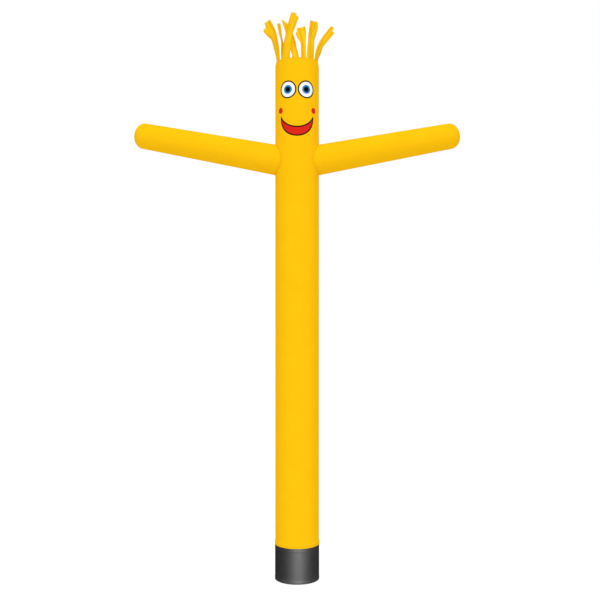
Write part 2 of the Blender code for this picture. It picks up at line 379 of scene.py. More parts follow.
def add_strip(cloth, maps, lower, upper):
    """Join two rows of corners with a row of faces."""
    for j in range(len(lower) - 1):
        add_face(cloth, maps, (lower[j], lower[j + 1], upper[j + 1], upper[j]))


def closed_row(cloth, row):
    """A row of corners round a tube, where the last one stands on the first one's point."""
    points = [cloth.verts.new(corner[0]) for corner in row[:-1]]
    return [(point, *corner[1:]) for point, corner in zip(points + points[:1], row)]


def round_cloth(rows, pole=None):
    """A round sheet through rows of corners.

    A pole closes its far end: a point, and how far along each map it lies.
    """
    cloth, maps = new_cloth()
    made = [closed_row(cloth, row) for row in rows]
    for lower, upper in zip(made, made[1:]):
        add_strip(cloth, maps, lower, upper)
    if pole:
        point, *ends = pole
        tip = cloth.verts.new(point)
        for left, right in zip(made[-1], made[-1][1:]):
            places = [(place[0], end) for place, end in zip(left[1:], ends)]
            add_face(cloth, maps, (left, right, (tip, *places)))
    return cloth


def deselect_all():
    for thing in bpy.context.scene.objects:
        thing.select_set(False)


def make_current(thing):
    deselect_all()
    thing.select_set(True)
    bpy.context.view_layer.objects.active = thing


def apply_modifier(thing, name):
    make_current(thing)
    bpy.ops.object.modifier_apply(modifier=name)


def sewn_piece(name, cloth, thickness, lay_out):
    """Turn a sheet into a closed cloth with its thickness inwards.

    Lay_out gives a face corner's place on the bake map from its (u, v) place,
    its wall (0 outside, 1 inside) and the face's middle. The faces of the cut
    edges lie side by side in a strip at the top.
    """
    rim_low, rim_high = 0.992, 0.998
    rim_left, rim_right = 0.1, 0.9
    mesh = bpy.data.meshes.new(name)
    cloth.to_mesh(mesh)
    cloth.free()
    outer_count = len(mesh.polygons)
    thing = bpy.data.objects.new(name, mesh)
    bpy.context.scene.collection.objects.link(thing)
    wall = thing.modifiers.new("cloth", "SOLIDIFY")
    wall.thickness = thickness
    wall.offset = -1.0
    wall.use_rim = True
    apply_modifier(thing, "cloth")
    mesh = thing.data
    flat = mesh.uv_layers[FLAT_MAP].uv
    bake = mesh.uv_layers.new(name=BAKE_MAP).uv
    rim_count = len(mesh.polygons) - 2 * outer_count
    for face in mesh.polygons:
        if face.index < 2 * outer_count:
            inside = int(face.index >= outer_count)
            middle = sum((flat[i].vector for i in face.loop_indices), Vector((0, 0)))
            middle /= len(face.loop_indices)
            for i in face.loop_indices:
                bake[i].vector = lay_out(flat[i].vector, inside, middle)
        else:
            k = face.index - 2 * outer_count
            corners = ((rim_left, rim_low), (rim_right, rim_low),
                       (rim_right, rim_high), (rim_left, rim_high))
            for i, (x, y) in zip(face.loop_indices, corners):
                bake[i].vector = ((k + x) / rim_count, y)
    make_current(thing)
    bpy.ops.object.shade_smooth_by_angle(angle=math.radians(40))
    return thing


def wear(thing, material, node):
    """Give a finished piece its cloth, and set it in place of its frame node."""
    thing.data.materials.clear()
    thing.data.materials.append(material)
    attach(thing, "root")
    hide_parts(node)


def spread(low, high, box):
    """A lay-out function: places from low to high fill a box on the bake map."""
    def place(uv):
        shares = [(uv[k] - low[k]) / (high[k] - low[k]) for k in (0, 1)]
        return (box[0] + (box[2] - box[0]) * shares[0], box[1] + (box[3] - box[1]) * shares[1])
    return place


def two_walls(low, high, outer_box, inner_box):
    """A lay-out for sewn_piece, in which each wall fills a box of its own."""
    outer, inner = spread(low, high, outer_box), spread(low, high, inner_box)
    return lambda uv, inside, middle: (inner if inside else outer)(uv)


# Sleeve


def sleeve_cloth(settings):
    """Straight sleeve with a bottom hem, a belt seam and a long back seam."""
    sleeve, seam = settings.sleeve, settings.seam
    turns = columns_round(SLEEVE_COLUMNS, sleeve.radius)
    hem_edge = 0.0016   # height over which the hem's edge falls away
    rows = []
    for height in stations(SLEEVE_SPANS):
        row = []
        for turn in turns:
            along = sleeve.radius * turn
            back = sleeve.radius * (math.pi - abs(turn))
            over_hem = height - sleeve.hem_height
            lift = sleeve.hem_extra * (1 - smooth(over_hem / hem_edge))
            to_belt = height - sleeve.belt_height
            lift = max(lift, 0.6 * felled(seam, to_belt), felled(seam, back))
            phase = SLEEVE_HEM_PUCKERS * turn / (2 * math.pi)
            sink = 0.5 * pucker(seam, over_hem, phase)
            sink += 0.25 * pucker(seam, -to_belt - seam.half_width, phase + 0.4)
            sink += 0.4 * pucker(seam, back - seam.half_width, height / SLEEVE_PUCKER_PITCH)
            if height > sleeve.belt_height:
                sink = 0.0
            stitch = nearest_seam((along, over_hem + 0.005), (along, to_belt), (height, back))
            row.append((round_point(turn, sleeve.radius + lift - sink, height),
                        (along, height), stitch))
        rows.append(row)
    edge = math.pi * sleeve.radius
    lay_out = two_walls((-edge, 0.0), (edge, sleeve.top),
                        (0.01, 0.42, 0.99, 0.985), (0.01, 0.02, 0.99, 0.39))
    thing = sewn_piece("base_sleeve_cloth", round_cloth(rows), sleeve.cloth, lay_out)
    return thing


# Tube


def tube_radius(tube, height):
    """The tube's outer radius, with its flared hem and drawn-in head."""
    hem_top = tube.bottom + tube.hem_turn
    if height <= hem_top:
        return tube.hem_radius
    if height < hem_top + tube.hem_flare:
        return eased(tube.hem_radius, tube.radius, (height - hem_top) / tube.hem_flare)
    share = max(0.0, 1 - (tube.head - height) / tube.head_curve)
    return tube.radius - tube.drawn_in * share ** 2


def arm_frame(arm, tube, side):
    """An arm's root, its axis, and the two directions across it.

    The first direction points to the long seam.
    """
    root = Vector((side * tube.radius, 0.0, arm.root_height))
    axis = Vector((side * math.cos(arm.rise), 0.0, math.sin(arm.rise)))
    down = Vector((side * math.sin(arm.rise), 0.0, -math.cos(arm.rise)))
    first = down * math.cos(arm.seam_turn) + Vector((0, 1, 0)) * math.sin(arm.seam_turn)
    return root, axis, first, axis.cross(first)


def arm_length(arm, tube):
    """From the tube's side to where the arm's rounded end starts."""
    end_reach = math.hypot(arm.end_depth * math.cos(arm.rise), arm.tip_radius * math.sin(arm.rise))
    return (arm.reach - tube.radius - end_reach) / math.cos(arm.rise)


def arm_radius(arm, length, station):
    return arm.root_radius + (arm.tip_radius - arm.root_radius) * station / length


def root_swell(arm, distance, reach, level):
    """How far the cloth swells at a distance from a root seam.

    Level is 1 at the arm's front and back, and 0 at its top and bottom, where
    the seam's corner stays sharp.
    """
    share = min(max(1 - distance / reach, 0.0), 1.0)
    return arm.swell * share ** 2 * smooth(abs(level))


def beside_arm(arm, tube, point):
    """How far a point of the tube lies outside the nearer arm, its angle round it and its swell."""
    side = 1 if point.x > 0 else -1
    root, axis, first, second = arm_frame(arm, tube, side)
    away = point - root
    station = away.dot(axis)
    across = away - axis * station
    gap = across.length - arm_radius(arm, arm_length(arm, tube), station)
    swell = root_swell(arm, gap - arm.swell, arm.tube_swell_reach, across.y / across.length)
    return gap, math.atan2(across.dot(second), across.dot(first)), swell


def tube_cloth(settings):
    """Tall open tube: a flared hem, an armhole each side and a hemmed, drawn-in head."""
    tube, arm, seam = settings.tube, settings.arm, settings.seam
    turns = columns_round(TUBE_COLUMNS, tube.radius)
    rows = []
    for height in stations(TUBE_SPANS):
        row = []
        for turn in turns:
            along = tube.radius * turn
            back = tube.radius * (math.pi - abs(turn))
            from_rim = tube.head - height
            over_hem = height - tube.bottom - tube.hem_turn
            lift = max(felled(seam, from_rim - STITCHES_BELOW_RIM / 2), felled(seam, back))
            phase = TUBE_HEM_PUCKERS * turn / (2 * math.pi)
            to_rim = from_rim - STITCHES_BELOW_RIM
            lift += 0.5 * pucker(seam, to_rim, phase)
            sink = 0.5 * pucker(seam, over_hem, phase + 0.3)
            sink += 0.5 * pucker(seam, back - seam.half_width, height / TUBE_PUCKER_PITCH)
            radius = tube_radius(tube, height)
            gap, round_arm, swell = beside_arm(arm, tube, round_point(turn, radius, height))
            lift += swell
            sink += 0.15 * pucker(seam, gap, ARM_PUCKERS * round_arm / (2 * math.pi))
            stitch = nearest_seam((along, to_rim + 0.002), (along, over_hem + 0.004),
                                  (height, back), (round_arm * arm.root_radius, gap - 0.002))
            row.append((round_point(turn, radius + lift - sink, height), (along, height), stitch))
        rows.append(row)
    edge = math.pi * tube.radius
    half = (tube.bottom + tube.head) / 2
    upper = spread((-edge, half), (edge, tube.head), (0.005, 0.01, 0.55, 0.985))
    lower = spread((-edge, tube.bottom), (edge, half), (0.56, 0.01, 0.84, 0.985))
    inner = spread((-edge, tube.bottom), (edge, tube.head), (0.85, 0.01, 0.995, 0.985))

    def lay_out(uv, inside, middle):
        if inside:
            return inner(uv)
        return upper(uv) if middle.y > half else lower(uv)

    thing = sewn_piece("body_tube_cloth", round_cloth(rows), tube.cloth, lay_out)
    for side in (-1, 1):
        cut_armhole(thing, tube, arm, side)
    return thing


def cut_armhole(thing, tube, arm, side):
    """Cut the round hole that lets air from the tube into an arm."""
    deselect_all()
    bpy.ops.mesh.primitive_cylinder_add(
        vertices=96, radius=tube.armhole, depth=tube.radius,
        location=(side * tube.radius, 0.0, arm.root_height),
        rotation=(0.0, side * (math.pi / 2 - arm.rise), 0.0),
    )
    cutter = bpy.context.active_object
    hole = thing.modifiers.new("armhole", "BOOLEAN")
    hole.operation = "DIFFERENCE"
    hole.solver = "EXACT"
    hole.object = cutter
    apply_modifier(thing, "armhole")
    mesh = cutter.data
    bpy.data.objects.remove(cutter)
    bpy.data.meshes.remove(mesh)


# Arms


def arm_start(arm, tube, side, round_arm):
    """The station at which a line along the arm leaves the tube's round."""
    root, axis, first, second = arm_frame(arm, tube, side)
    length = arm_length(arm, tube)
    across = first * math.cos(round_arm) + second * math.sin(round_arm)
    station = 0.0
    for _ in range(30):   # each pass comes closer
        swell = root_swell(arm, 0.0, arm.arm_swell_reach, across.y)
        radius = arm_radius(arm, length, station) + swell
        level_y = across.y * radius
        wanted = math.sqrt((tube.radius + SEAM_GAP + swell) ** 2 - level_y ** 2)
        reached = abs(root.x) + abs(axis.x) * station + side * across.x * radius
        station += (wanted - reached) / abs(axis.x)
    return station


def arm_cloth(settings, side, name):
    """Tapered arm, shaped to the tube's side, with a long seam and a sewn-on round end."""
    tube, arm, seam = settings.tube, settings.arm, settings.seam
    root, axis, first, second = arm_frame(arm, tube, side)
    length = arm_length(arm, tube)
    turns = [turn + math.pi for turn in columns_round(ARM_COLUMNS, arm.root_radius)]
    starts = [arm_start(arm, tube, side, turn) for turn in turns]
    _, root_end, least_step = ARM_ROOT_SPANS[-1]
    end_place = length + arm.end_seam
    seam_fade = 0.03                             # where the long seam flattens to its end
    root_stitches, end_stitches = 0.042, 0.036   # length of a pucker along each seam
    pole_place = 0.19                            # along the cloth of the round end
    rows = []

    def add_ring(from_root, hold=0.0, end=None):
        """Add a row of corners at a distance along the cloth.

        Hold bends it round the tube's side. On the round end, end gives its
        station and its radius.
        """
        row = []
        for turn, start in zip(turns, starts):
            station = from_root + start * hold
            radius = arm_radius(arm, length, station)
            if end:
                station, radius = end
            to_end = end_place - from_root
            back = arm.root_radius * min(turn, 2 * math.pi - turn)
            waves = ARM_PUCKERS * turn / (2 * math.pi)
            lift = max(0.35 * felled(seam, from_root), 0.5 * felled(seam, to_end))
            sink = 0.15 * pucker(seam, from_root - seam.half_width, waves)
            sink += 0.3 * pucker(seam, abs(to_end) - seam.half_width, waves + 0.5)
            if to_end > 0.0:
                lift = max(lift, felled(seam, back) * smooth(to_end / seam_fade))
                sink += 0.5 * pucker(seam, back - seam.half_width, station / ARM_PUCKER_PITCH)
            out = first * math.cos(turn) + second * math.sin(turn)
            lift += root_swell(arm, from_root, arm.arm_swell_reach, out.y)
            stitch = nearest_seam((waves * root_stitches, from_root - 0.002),
                                  (waves * end_stitches, to_end), (station, back))
            row.append((root + axis * station + out * (radius + lift - sink),
                        (arm.root_radius * turn, from_root), stitch))
        rows.append(row)

    for place in stations(ARM_ROOT_SPANS):
        add_ring(place, hold=1 - smooth(place / root_end))
    for share in stations(ARM_REST_SPANS)[1:]:
        if share * length > root_end + least_step:
            add_ring(share * length)
    for i in range(1, ARM_END_ROWS):
        bend = math.pi / 2 * i / ARM_END_ROWS
        walked = 0.5 * (arm.end_depth + arm.tip_radius) * bend
        add_ring(length + walked, end=(length + arm.end_depth * math.sin(bend),
                                       arm.tip_radius * math.cos(bend)))
    pole = root + axis * (length + arm.end_depth)
    cloth = round_cloth(rows, (pole, length + pole_place, pole_place))
    round_arm = 2 * math.pi * arm.root_radius
    lay_out = two_walls((0.0, 0.0), (round_arm, length + pole_place + 0.01),
                        (0.005, 0.01, 0.72, 0.985), (0.74, 0.01, 0.995, 0.985))
    thing = sewn_piece(name, cloth, arm.cloth, lay_out)
    return thing


# Streamers


def band_radius(settings):
    """The band's outer radius, just clear of the head's rim."""
    tube = settings.tube
    slope = math.atan(2 * tube.drawn_in / tube.head_curve)
    rim_inner = tube.radius - tube.drawn_in - tube.cloth * math.cos(slope)
    return rim_inner * math.cos(math.pi / FRAME_TUBE_SIDES) - SEAM_GAP


def streamer_width(row, t):
    """Narrowing from the root to the waist, then widening to the tip."""
    if t < 0.5:
        return eased(row["root_width"], row["waist"], 2 * t)
    return row["waist"] + (row["tip_width"] - row["waist"]) * (2 * t - 1) ** FLARE_POWER


def streamer_end(row):
    """The end's points: their shares of the width and how far they are cut back."""
    lobe = abs(row["lobe"])
    shares = [0.0, lobe, lobe + NOTCH_SIDE, 1.0]
    cuts = [0.0, 0.0, row["notch"], row["step"]]
    if row["lobe"] < 0:
        shares = [1 - share for share in reversed(shares)]
        cuts.reverse()
    return split(shares), split(cuts)


def split(values):
    """Values with even steps put between each two."""
    made = [values[0]]
    for start, end in zip(values, values[1:]):
        for k in range(1, STREAMER_SPLITS + 1):
            made.append(start + (end - start) * k / STREAMER_SPLITS)
    return made


def streamer_point(row, index, radius, top, fold, share, t):
    """A point of a streamer's outer face, at a share of its width and of its length."""
    root_turn = math.radians(row["root_deg"])
    root = round_point(root_turn, radius, top)
    bend, tip = Vector(row["bend"]), Vector(row["tip"])
    turns = [root_turn, math.radians(row["bend_deg"]), math.radians(row["tip_deg"])]
    centre = root * (1 - t) ** 3 + bend * 3 * t * (1 - t) + tip * t ** 3
    along = (bend - root) * (1 - t) ** 2 + (tip - bend) * t ** 2
    upright = max(0.0, 1 - 10 * t)   # over its first tenth it leaves the band
    along = (along.normalized() * (1 - upright) + Vector((0, 0, 1)) * upright).normalized()
    turn = eased(turns[0], turns[1], 2 * t) if t < 0.5 else eased(turns[1], turns[2], 2 * t - 1)
    across = along.cross(facing(turn)).normalized()
    outward = across.cross(along)
    round_radius = radius / (1 - 0.7 * t)   # flatter towards the tip
    angle = (share - 0.5) * streamer_width(row, t) / round_radius
    point = centre + across * round_radius * math.sin(angle)
    point -= outward * round_radius * (1 - math.cos(angle))
    # Folds and a shallower flutter shape it past its stiff root, and its index
    # shifts both, so that no two streamers are alike.
    folds_across, flutters_along = 1.2, 1.6
    stiff_root = 0.35
    phase = 0.37 * index + 0.25 * math.sin(5 * t + index)
    wave = math.cos(2 * math.pi * (folds_across * share + phase))
    flutter = math.sin(2 * math.pi * (flutters_along * t + 0.29 * index))
    loose = smooth(t / stiff_root)
    point += outward * (fold * loose * wave + 0.6 * fold * loose * flutter)
    return point, along


def streamer_length(row, radius, top):
    """The length of a streamer along its middle."""
    steps = 24
    points = [streamer_point(row, 0, radius, top, 0.0, 0.5, i / steps)[0]
              for i in range(steps + 1)]
    return sum((b - a).length for a, b in zip(points, points[1:]))


def band_turns(table, radius):
    """Angles of the band's points, and the number of each streamer's first one."""
    turns, starts = [], []
    for row, following in zip(table, table[1:] + table[:1]):
        middle = math.radians(row["root_deg"])
        half = row["root_width"] / radius / 2
        starts.append(len(turns))
        turns += [middle + half * (2 * j / STREAMER_COLUMNS - 1)
                  for j in range(STREAMER_COLUMNS + 1)]
        slit_end = math.radians(following["root_deg"]) - following["root_width"] / radius / 2
        if slit_end < middle:
            slit_end += 2 * math.pi
        slit = slit_end - (middle + half)
        steps = math.ceil(slit / BAND_STEP)
        turns += [middle + half + slit * j / steps for j in range(1, steps)]
    return turns, starts


def streamer_cloth(settings):
    """One band with the streamers slit from its upper edge."""
    streamer = settings.streamer
    radius = band_radius(settings)
    top = settings.tube.head + streamer.above_head
    bottom = settings.tube.head - streamer.band_height
    table = [dict(zip(STREAMER_COLUMN_NAMES, values)) for values in STREAMER_TABLE]
    turns, starts = band_turns(table, radius)
    cloth, maps = new_cloth()
    band_stitches = 0.016   # above the band's lower edge, and below each slit
    edges = []
    for height in [bottom + (top - bottom) * i / BAND_ROWS for i in range(BAND_ROWS + 1)]:
        edges.append(closed_row(cloth, [
            (round_point(turn, radius, height), (turn * radius, height),
             (turn * radius, height - bottom - band_stitches))
            for turn in turns + [turns[0] + 2 * math.pi]]))
    for lower, upper in zip(edges, edges[1:]):
        add_strip(cloth, maps, lower, upper)
    for index, (row, start) in enumerate(zip(table, starts)):
        lower = edges[-1][start:start + STREAMER_COLUMNS + 1]
        shares, cuts = streamer_end(row)
        length = streamer_length(row, radius, top)
        middle = math.radians(row["root_deg"]) * radius
        for i in range(1, STREAMER_ROWS + 1):
            upper = []
            for j in range(STREAMER_COLUMNS + 1):
                t = i / STREAMER_ROWS
                even = j / STREAMER_COLUMNS
                share = even + (shares[j] - even) * t
                cut = cuts[j] * smooth((t - 0.5) / 0.5)
                point, along = streamer_point(row, index, radius, top, streamer.fold, share, t)
                point -= along * cut
                u = middle + (share - 0.5) * streamer_width(row, t)
                edge = (0.5 - abs(share - 0.5)) * streamer_width(row, t)
                from_root = length * t - cut
                upper.append((cloth.verts.new(point), (u, top + from_root),
                              nearest_seam((from_root, edge + 0.004),
                                           (u, from_root + band_stitches))))
            add_strip(cloth, maps, lower, upper)
            lower = upper
    low = min(turns) * radius
    high = low + 2 * math.pi * radius
    beside, above = 0.04, 0.53   # room that the streamers need past the band
    lay_out = two_walls((low - beside, bottom), (high + beside, top + above),
                        (0.005, 0.5, 0.995, 0.985), (0.005, 0.01, 0.995, 0.485))
    thing = sewn_piece("hair_streamers_cloth", cloth, streamer.cloth, lay_out)
    return thing


# Finishes


def add_node(tree, kind, inputs=None, **settings):
    """Add a node with its own settings, and values or links for its inputs.

    Returns its outputs.
    """
    node = tree.nodes.new(kind)
    for name, value in settings.items():
        setattr(node, name, value)
    for name, value in (inputs or {}).items():
        if isinstance(value, bpy.types.NodeSocket):
            tree.links.new(value, node.inputs[name])
        else:
            node.inputs[name].default_value = value
    return node.outputs


def start_material(name):
    """A new material and its node tree, with one shader at its output."""
    material = bpy.data.materials.new(name)
    material.use_nodes = True
    tree = material.node_tree
    tree.nodes.clear()
    surface = add_node(tree, "ShaderNodeBsdfPrincipled")["BSDF"]
    add_node(tree, "ShaderNodeOutputMaterial", {"Surface": surface})
    return material, tree, surface.node


def rgba(value):
    return (*value, 1.0)


def cloth_places(tree):
    """The sockets of a piece's flat place: the vector, u and v, and its place on a seam."""
    flat = add_node(tree, "ShaderNodeUVMap", uv_map=FLAT_MAP)["UV"]
    uv = add_node(tree, "ShaderNodeSeparateXYZ", {0: flat})
    seam = add_node(tree, "ShaderNodeUVMap", uv_map=SEAM_MAP)["UV"]
    split_seam = add_node(tree, "ShaderNodeSeparateXYZ", {0: seam})
    across = add_node(tree, "ShaderNodeMath", {0: split_seam["Y"]}, operation="ABSOLUTE")[0]
    return flat, uv, split_seam["X"], across


def grid_lines(tree, uv, spacing, width):
    """Lines of a square grid, 1 on a line and 0 between lines."""
    lines = []
    for axis in ("X", "Y"):
        count = add_node(tree, "ShaderNodeMath", {0: uv[axis], 1: 1 / spacing},
                         operation="MULTIPLY")[0]
        away = add_node(tree, "ShaderNodeMath", {0: count, 1: 0.5}, operation="PINGPONG")[0]
        line = add_node(tree, "ShaderNodeMapRange",
                        {"Value": away, "From Max": width / spacing, "To Min": 1.0,
                         "To Max": 0.0}, interpolation_type="SMOOTHSTEP")["Result"]
        lines.append(line)
    return add_node(tree, "ShaderNodeMath", dict(enumerate(lines)), operation="MAXIMUM")[0]


def stitch_lines(tree, along, across):
    """Two rows of stitches on each seam, 1 on the thread."""
    stitch_pitch = 0.009   # drawn twice as long as a real 4.5 mm stitch, to show
    row_place = 0.0034     # each side of the seam's middle
    from_row = add_node(tree, "ShaderNodeMath", {0: across, 1: row_place},
                        operation="SUBTRACT")[0]
    off_row = add_node(tree, "ShaderNodeMath", {0: from_row}, operation="ABSOLUTE")[0]
    on_row = add_node(tree, "ShaderNodeMapRange",
                      {"Value": off_row, "From Min": 0.0004, "From Max": 0.0011,
                       "To Min": 1.0, "To Max": 0.0})["Result"]
    count = add_node(tree, "ShaderNodeMath", {0: along, 1: 1 / stitch_pitch},
                     operation="MULTIPLY")[0]
    beat = add_node(tree, "ShaderNodeMath", {0: count, 1: 0.5}, operation="PINGPONG")[0]
    thread = add_node(tree, "ShaderNodeMapRange",
                      {"Value": beat, "From Min": 0.08, "From Max": 0.14})["Result"]
    return add_node(tree, "ShaderNodeMath", {0: on_row, 1: thread}, operation="MULTIPLY")[0]


def lay_over(tree, base, *layers):
    """Lay (share, colour) layers over a base colour."""
    for share, tint in layers:
        base = add_node(tree, "ShaderNodeMix", {0: share, 6: base, 7: rgba(tint)},
                        data_type="RGBA")[2]
    return base


def print_disc(tree, place, centre, radius):
    """A printed disc with a clean edge, 1 inside it."""
    edge = 0.0008
    away = add_node(tree, "ShaderNodeVectorMath", {0: place, 1: (*centre, 0.0)},
                    operation="DISTANCE")["Value"]
    return add_node(tree, "ShaderNodeMapRange",
                    {"Value": away, "From Min": radius - edge, "From Max": radius + edge,
                     "To Min": 1.0, "To Max": 0.0})["Result"]


def print_crescent(tree, place, look, grow):
    """A printed smile: what one disc holds and a higher, larger one leaves."""
    rise, extra = 0.125, 0.033
    outer = print_disc(tree, place, (0.0, look.smile_height), look.smile_radius + grow)
    bite = print_disc(tree, place, (0.0, look.smile_height + rise),
                      look.smile_radius + extra - grow)
    left = add_node(tree, "ShaderNodeMath", {0: 1.0, 1: bite}, operation="SUBTRACT")[0]
    return add_node(tree, "ShaderNodeMath", {0: outer, 1: left}, operation="MULTIPLY")[0]


def add_print(tree, uv, base, look):
    """Lay the printed face over the cloth: two round eyes, two cheeks and a smile."""
    mirrored = add_node(tree, "ShaderNodeMath", {0: uv["X"]}, operation="ABSOLUTE")[0]
    place = add_node(tree, "ShaderNodeCombineXYZ", {"X": mirrored, "Y": uv["Y"]})["Vector"]
    eye = (look.eye_apart, look.eye_height)
    cheek = (look.cheek_apart, look.cheek_height)
    ring, pupil = 0.58, 0.36   # shares of the eye's radius
    line = look.outline
    return lay_over(
        tree, base,
        (print_disc(tree, place, cheek, look.cheek_radius), look.red),
        (print_disc(tree, place, eye, look.eye_radius + line), look.ink),
        (print_disc(tree, place, eye, look.eye_radius), look.white),
        (print_disc(tree, place, eye, look.eye_radius * ring), look.blue),
        (print_disc(tree, place, eye, look.eye_radius * pupil), look.ink),
        (print_crescent(tree, place, look, line * 0.5), look.ink),
        (print_crescent(tree, place, look, -line * 0.5), look.red))


def dress_shader(tree, shader, base, rough, relief, strength):
    """Give a cloth's shader its colour, its roughness, and its relief as a bump."""
    bump = add_node(tree, "ShaderNodeBump",
                    {"Height": relief, "Strength": strength, "Distance": 0.0006})
    tree.links.new(base, shader.inputs["Base Color"])
    tree.links.new(rough, shader.inputs["Roughness"])
    tree.links.new(bump["Normal"], shader.inputs["Normal"])


def ripstop_nylon(name, settings, yellow, shade, printed=False, painted_fold_shade=0.0):
    """Woven ripstop nylon, dyed yellow: even, bright and matt, with a faint square grid.

    Doubled cloth on a seam looks deeper, with painted crease shade beside it,
    and painted shade of lengthwise folds may run along it in soft streaks.
    """
    look = settings.look
    material, tree, shader = start_material(name)
    flat, uv, along, across = cloth_places(tree)
    # How much deeper the colour is on the grid, in soft clouds, and on and beside a seam: doubled
    # cloth on it, and painted crease shade for up to 30 mm beside it.
    on_grid, in_clouds, doubled_seam_and_painted_shade = 0.16, 0.14, 0.18
    # A real grid is 5 to 6 mm; it is drawn twice as coarse so that it can show.
    grid = grid_lines(tree, uv, spacing=look.ripstop, width=0.0016)
    cloudy = add_node(tree, "ShaderNodeTexNoise",
                      {"Vector": flat, "Scale": 5.0, "Detail": 3.0, "Roughness": 0.55})["Fac"]
    cloud = add_node(tree, "ShaderNodeMapRange",
                     {"Value": cloudy, "From Min": 0.3, "From Max": 0.7, "To Max": in_clouds})
    deeper = add_node(tree, "ShaderNodeMath", {0: grid, 1: on_grid, 2: cloud["Result"]},
                      operation="MULTIPLY_ADD")[0]
    # Painted crease shade: the colour deepens from the doubled seam out to about 30 mm beside it,
    # and along a streamer's cut edges.
    seam_doubling_and_painted_crease_shade = add_node(tree, "ShaderNodeMapRange",
                         {"Value": across, "From Min": 0.004, "From Max": 0.03,
                          "To Min": doubled_seam_and_painted_shade, "To Max": 0.0}, interpolation_type="SMOOTHSTEP")
    deeper = add_node(tree, "ShaderNodeMath", {0: deeper, 1: seam_doubling_and_painted_crease_shade["Result"]},
                      operation="ADD", use_clamp=True)[0]
    # Painted fold shade: soft lengthwise streaks of deeper colour along the streamers.
    if painted_fold_shade:
        # Painted shade of lengthwise folds, laid as streaks: about 38 to the metre across, 2.5
        # along.
        stretched = add_node(tree, "ShaderNodeMapping", {"Vector": flat, "Scale": (38.0, 2.5, 1.0)})
        streaks = add_node(tree, "ShaderNodeTexNoise",
                           {"Vector": stretched["Vector"], "Scale": 1.0, "Detail": 2.0})
        band = add_node(tree, "ShaderNodeMapRange",
                        {"Value": streaks["Fac"], "From Min": 0.42, "From Max": 0.62,
                         "To Max": painted_fold_shade})
        deeper = add_node(tree, "ShaderNodeMath", {0: deeper, 1: band["Result"]},
                          operation="ADD", use_clamp=True)[0]
    stitches = stitch_lines(tree, along, across)
    base = lay_over(tree, rgba(yellow), (deeper, shade), (stitches, look.thread))
    if printed:
        base = add_print(tree, uv, base, settings.print)
    # The relief: a fine weave, the grid's thicker threads, and the stitches highest.
    weave = add_node(tree, "ShaderNodeTexNoise", {"Vector": flat, "Scale": 420.0, "Detail": 1.0})
    relief = add_node(tree, "ShaderNodeMath", {0: weave["Fac"], 1: 0.25, 2: grid},
                      operation="MULTIPLY_ADD")[0]
    relief = add_node(tree, "ShaderNodeMath", {0: stitches, 1: 1.5, 2: relief},
                      operation="MULTIPLY_ADD")[0]
    rough = add_node(tree, "ShaderNodeMapRange", {"Value": cloudy, "To Min": 0.58, "To Max": 0.74})
    dress_shader(tree, shader, base, rough["Result"], relief, 0.35)
    # Thin matt cloth: any gloss here would turn its edges white.
    shader.inputs["Specular IOR Level"].default_value = 0.0
    shader.inputs["Sheen Weight"].default_value = 0.04
    shader.inputs["Sheen Roughness"].default_value = 0.5
    shader.inputs["Sheen Tint"].default_value = rgba(yellow)
    return material


def coated_nylon(name, settings):
    """Heavy black nylon, coated on its face: a broad soft gloss over a visible plain weave."""
    look = settings.look
    material, tree, shader = start_material(name)
    flat, uv, along, across = cloth_places(tree)
    # Real threads are 0.6 mm apart; they are drawn about 3 mm apart so that they can show.
    threads = add_node(tree, "ShaderNodeMapping", {"Vector": flat, "Scale": (330.0, 330.0, 1.0)})
    weave = add_node(tree, "ShaderNodeTexChecker", {"Vector": threads["Vector"], "Scale": 1.0})
    dust = add_node(tree, "ShaderNodeTexNoise",
                    {"Vector": flat, "Scale": 14.0, "Detail": 5.0})["Fac"]
    # Dust lies thickest at the foot.
    low_dust = add_node(tree, "ShaderNodeMapRange",
                        {"Value": uv["Y"], "From Max": 0.09, "To Min": 0.16, "To Max": 0.02})
    dusty = add_node(tree, "ShaderNodeMath", {0: dust, 1: low_dust["Result"]},
                     operation="MULTIPLY")[0]
    stitches = stitch_lines(tree, along, across)
    base = lay_over(tree, rgba(look.black), (dusty, linear("#77716A")),
                    (stitches, linear("#3D3D3F")))
    relief = add_node(tree, "ShaderNodeMath", {0: weave["Fac"], 1: 0.5, 2: stitches},
                      operation="MULTIPLY_ADD")[0]
    rough = add_node(tree, "ShaderNodeMapRange", {"Value": dust, "To Min": 0.54, "To Max": 0.7})
    dress_shader(tree, shader, base, rough["Result"], relief, 0.25)
    shader.inputs["Specular IOR Level"].default_value = 1.0
    shader.inputs["IOR"].default_value = 1.5
    return material


def add_light(name, kind, power, place, tilt, **settings):
    """Hang a light and return its object. Untilted it looks down, and tilt lifts it to the back."""
    light = bpy.data.lights.new(name, kind)
    light.energy = power
    for setting, value in settings.items():
        setattr(light, setting, value)
    lamp = bpy.data.objects.new(name, light)
    bpy.context.scene.collection.objects.link(lamp)
    lamp.location = place
    lamp.rotation_euler = (tilt, 0.0, 0.0)
    return lamp


# Operators


class MESH_OT_dancer_sleeve(Operator):
    """Sew the black sleeve that slips over the blower's outlet"""

    bl_idname = "mesh.dancer_sleeve"
    bl_label = "Base sleeve"

    def execute(self, context):
        settings = context.scene.dancer
        material = coated_nylon("coated_nylon_black_woven", settings)
        wear(sleeve_cloth(settings), material, "base_sleeve")
        return {"FINISHED"}


class MESH_OT_dancer_tube(Operator):
    """Sew the tall yellow tube with its printed face"""

    bl_idname = "mesh.dancer_tube"
    bl_label = "Tube"

    def execute(self, context):
        settings = context.scene.dancer
        look = settings.look
        thing = tube_cloth(settings)
        material = ripstop_nylon("ripstop_nylon_printed_tube", settings, look.yellow, look.shade,
                                 printed=True)
        wear(thing, material, "body_tube")
        return {"FINISHED"}


